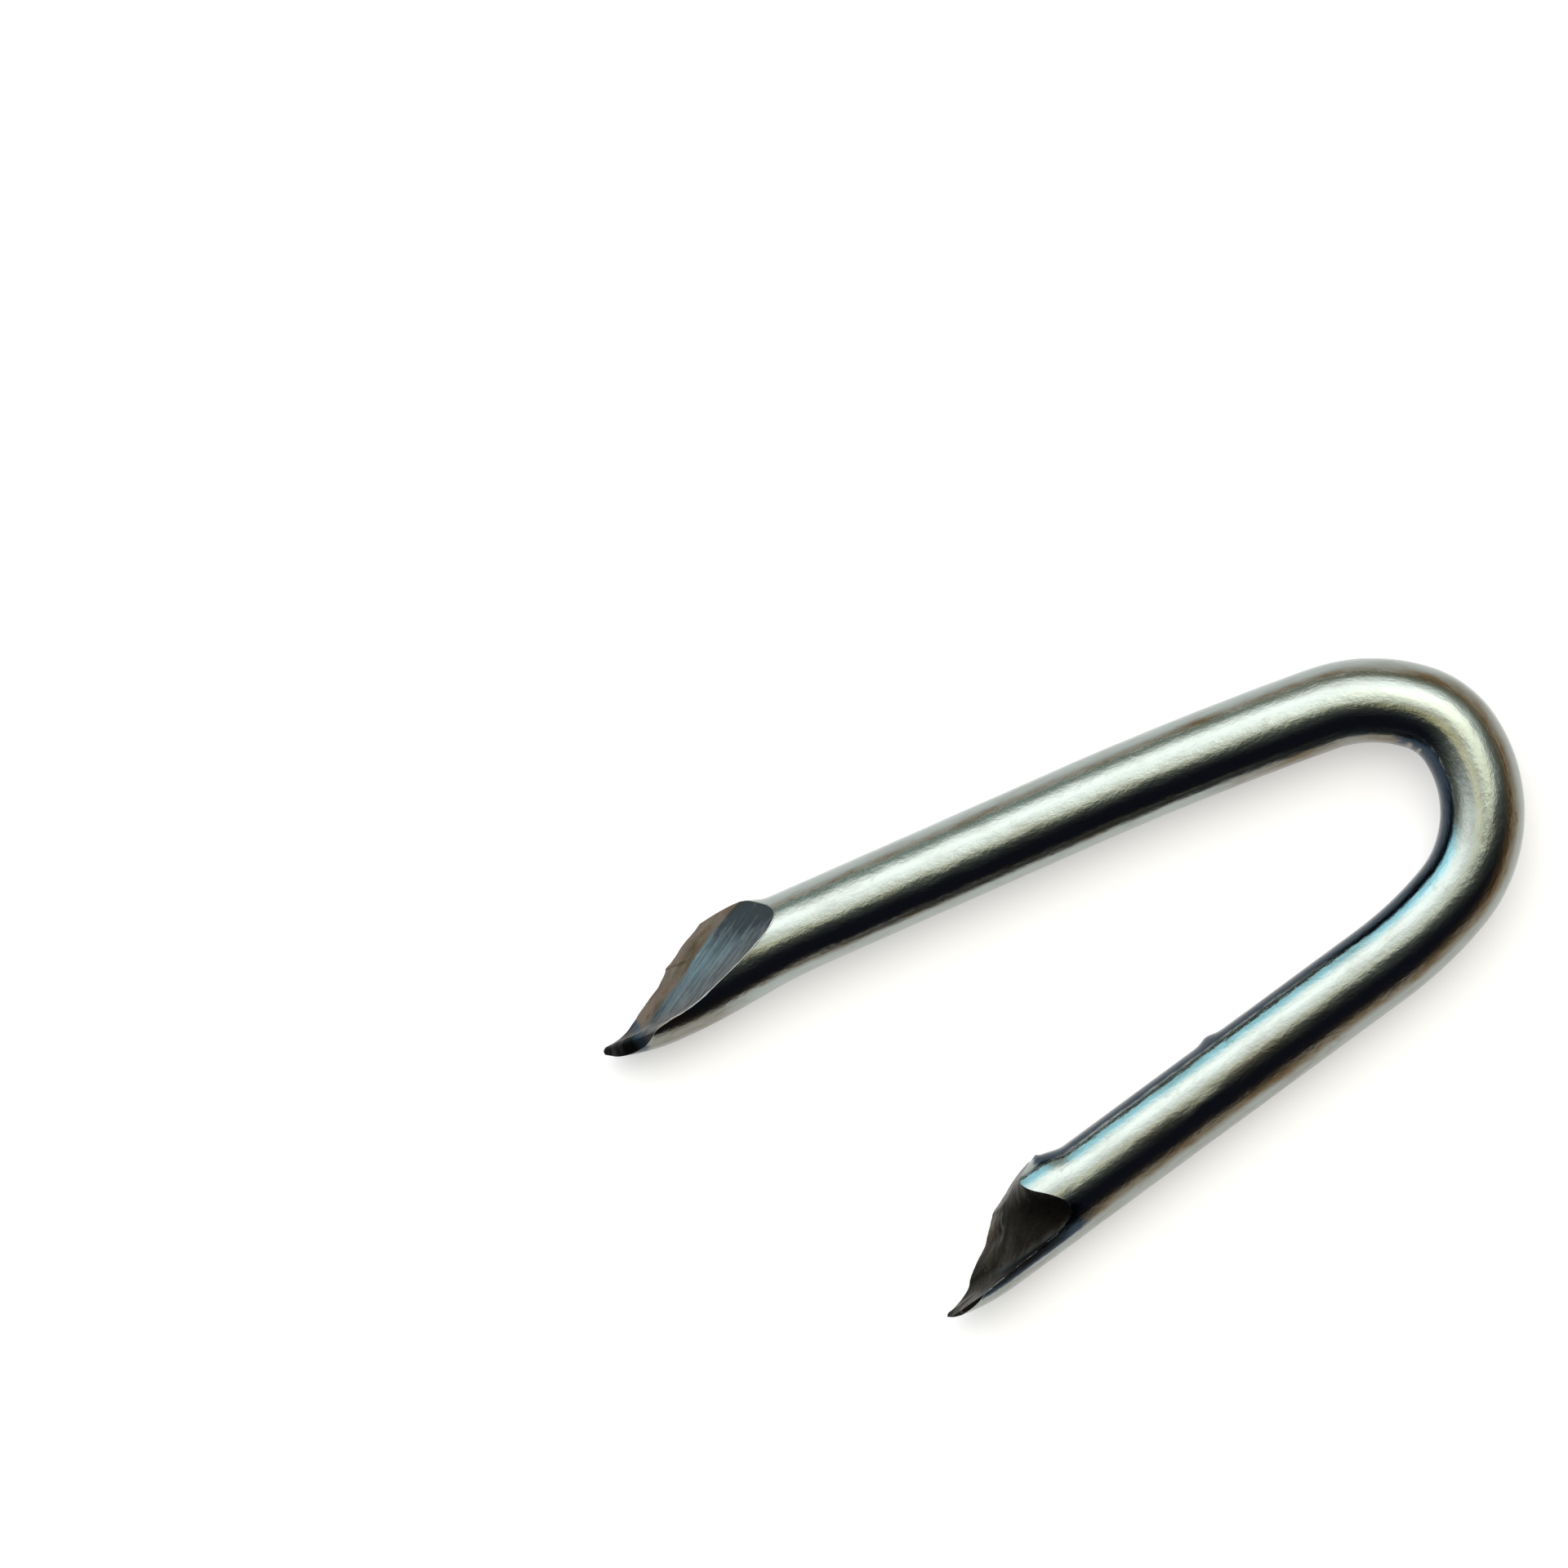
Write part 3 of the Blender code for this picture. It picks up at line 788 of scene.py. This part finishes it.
def where_browned_and_painted_shade(inline, steels):
    """How brown the drawn steel is made at a place on the wire, partly as painted reflection and painted
    shade, and how dark the long leg's sliced face is.
    """
    along = inline.x / MM
    # The long leg's sliced face is darker towards its heel
    if "sheared_steel" in steels:
        return faded(along, HEEL_DARK_ALONG) * faded(inline.y / MM, HEEL_DARK_ACROSS)
    if steels != {"drawn_steel"}:
        return 0.0
    outwards = math.degrees(math.atan2(inline.y, inline.z))
    # The side line and the outer brown are painted reflection, the crook's brown is painted shade
    reflected_line = REFLECTION_LINE * faded(abs(outwards), *REFLECTION_LINE_ROUND)
    if outwards < 0:
        reflected_line *= faded(along, REFLECTION_LINE_INNER_ALONG)
    outer = faded(outwards, OUTER_REFLECTION_OUTWARDS) * faded(along, OUTER_REFLECTION_ALONG)
    outer *= 1 - OUTER_REFLECTION_EASED_OFF * faded(outwards, OUTER_REFLECTION_EASES_OFF)
    crook_shade = CROOK_PAINTED_SHADE * faded(-outwards, CROOK_SHADE_INWARDS) * faded(along, *CROOK_SHADE_ALONG)
    by_tip = LONG_TIP_BROWN * faded(-outwards, LONG_TIP_BROWN_INWARDS)
    by_tip *= faded(along, LONG_TIP_BROWN_ALONG)
    scuffed = SCUFF_BROWN * math.exp(-((outwards - SCUFF_MIDDLE) / SCUFF_WIDTH) ** 2)
    scuffed *= faded(along, *SCUFF_ALONG)
    return max(reflected_line, outer, crook_shade, by_tip, scuffed)


steels_at = [set() for _ in bent_wire.data.vertices]
for face in bent_wire.data.polygons:
    for number in face.vertices:
        steels_at[number].add(bent_wire.data.materials[face.material_index].name)
darkening_and_painted_shade = bent_wire.data.attributes.new("darkening_and_painted_shade", "FLOAT", "POINT")
browning_and_painted_shade = bent_wire.data.attributes.new("browning_and_painted_shade", "FLOAT", "POINT")
unbent_places = bent_wire.data.attributes.new("straightened", "FLOAT_VECTOR", "POINT")
for vertex, place in zip(bent_wire.data.vertices, unbent_places.data):
    place.vector = straightened(vertex.co)[0]
    darkening_and_painted_shade.data[vertex.index].value = where_darkened_and_painted_shade(place.vector, steels_at[vertex.index])
    browning_and_painted_shade.data[vertex.index].value = where_browned_and_painted_shade(place.vector, steels_at[vertex.index])

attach(bent_wire, "root")
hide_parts("staple")


# The table and the light
# A plain white table under soft studio light: a broad window beyond the top of the view, a warm
# soft box to the right of it, a blue one low on the left, and a dark room all round.

TABLE_SIDE = 8.0
TABLE_GAP = 0.01 * MM
TABLE_COLOUR = (0.71, 0.7, 0.735, 1.0)
TABLE_ROUGHNESS = 0.9
TABLE_GLOW = 0.45
bpy.ops.object.select_all(action="DESELECT")
bpy.ops.mesh.primitive_plane_add(size=TABLE_SIDE, location=(0.0, 0.0, -TABLE_GAP))
table = bpy.context.object
table.name = "white_table"
table_paint = bpy.data.materials.new("white_table")
table_paint.use_nodes = True
table_tree = table_paint.node_tree
paint = table_tree.nodes["Principled BSDF"]
paint.inputs["Base Color"].default_value = TABLE_COLOUR
paint.inputs["Roughness"].default_value = TABLE_ROUGHNESS
paint.inputs["Specular IOR Level"].default_value = 0.0
paint.inputs["Emission Color"].default_value = (1.0, 1.0, 1.0, 1.0)
rays = table_tree.nodes.new("ShaderNodeLightPath").outputs
seen = calculated(table_tree, "MAXIMUM", rays["Is Camera Ray"], rays["Is Glossy Ray"])
seen = calculated(table_tree, "MAXIMUM", seen, rays["Is Transmission Ray"])
glow = calculated(table_tree, "MULTIPLY", seen, TABLE_GLOW)
table_tree.links.new(glow, paint.inputs["Emission Strength"])
table.data.materials.append(table_paint)

# The window and the horizon fade with how nearly a direction points each way, given as its azimuth and
# tilt: the first number of a fade is where there is none of the light, and the second where all of it is
WINDOW_COLOUR = (2.85, 2.82, 2.78)
WINDOW_SIDE = (107, 90)
WINDOW_SIDE_FADE = (-0.33, 0.8)
WINDOW_TOP = (137, 6)
WINDOW_TOP_FADE = (0.3, 0.88)
HORIZON_COLOUR = (0.8, 0.8, 0.8)
OVERHEAD = (0, 0)
HORIZON_FADE = (0.06, 0.045)
# Each soft light's colour, azimuth and tilt, and how far from its middle it starts and ends to fade
WARM_BOX = ((1.45, 1.36, 0.96), 45, 25, 4, 28)
BLUE_BOX = ((0.42, 1.19, 1.55), 144, 79, 12, 32)
SMALL_WARM_BOX = ((0.73, 0.6, 0.26), 215, 13, 4, 17)
PALE_WALL = ((0.44, 0.47, 0.37), 109, 69, 0, 114)
WARM_GLOW_LOW_DOWN = ((0.6, 0.33, 0.06), 0, 148, 3, 92)
DARK_ROOM = ((0.0121, 0.0123, 0.0205), 0, 0, 179, 180)
SOFT_LIGHTS = (WARM_BOX, BLUE_BOX, SMALL_WARM_BOX, PALE_WALL, WARM_GLOW_LOW_DOWN, DARK_ROOM)

room = bpy.data.worlds.new("studio_room")
bpy.context.scene.world = room
room.use_nodes = True
room_tree = room.node_tree
direction = room_tree.nodes.new("ShaderNodeTexCoord").outputs["Generated"]


def facing(azimuth, tilt):
    """How nearly a direction points the given way: azimuth from the view's right, tilt from overhead."""
    azimuth = math.radians(azimuth)
    tilt = math.radians(tilt)
    way = photo_right * math.cos(azimuth) + photo_up * math.sin(azimuth)
    way = way * math.sin(tilt) + Vector((0.0, 0.0, math.cos(tilt)))
    node = room_tree.nodes.new("ShaderNodeVectorMath")
    node.operation = "DOT_PRODUCT"
    room_tree.links.new(direction, node.inputs[0])
    node.inputs[1].default_value = way
    return node.outputs["Value"]


def tinted(colour, amount):
    node = room_tree.nodes.new("ShaderNodeVectorMath")
    node.operation = "SCALE"
    node.inputs[0].default_value = colour
    room_tree.links.new(amount, node.inputs["Scale"])
    return node.outputs[0]


def together(first, second):
    node = room_tree.nodes.new("ShaderNodeVectorMath")
    node.operation = "ADD"
    room_tree.links.new(first, node.inputs[0])
    room_tree.links.new(second, node.inputs[1])
    return node.outputs[0]


def soft_box(azimuth, tilt, inner, outer):
    """A round soft light: full inside the inner angle from its middle, and nothing past the outer one."""
    none_at = math.cos(math.radians(outer))
    full_at = math.cos(math.radians(inner))
    return ramp(room_tree, facing(azimuth, tilt), none_at, full_at)


window_side = ramp(room_tree, facing(*WINDOW_SIDE), *WINDOW_SIDE_FADE)
window_top = ramp(room_tree, facing(*WINDOW_TOP), *WINDOW_TOP_FADE)
window = calculated(room_tree, "MULTIPLY", window_side, window_top)
horizon = ramp(room_tree, facing(*OVERHEAD), *HORIZON_FADE)
light = together(tinted(WINDOW_COLOUR, window), tinted(HORIZON_COLOUR, horizon))
for colour, azimuth, tilt, inner, outer in SOFT_LIGHTS:
    light = together(light, tinted(colour, soft_box(azimuth, tilt, inner, outer)))
backdrop = room_tree.nodes["Background"]
room_tree.links.new(light, backdrop.inputs["Color"])
backdrop.inputs["Strength"].default_value = 1.0

bpy.context.scene.view_settings.view_transform = "Standard"
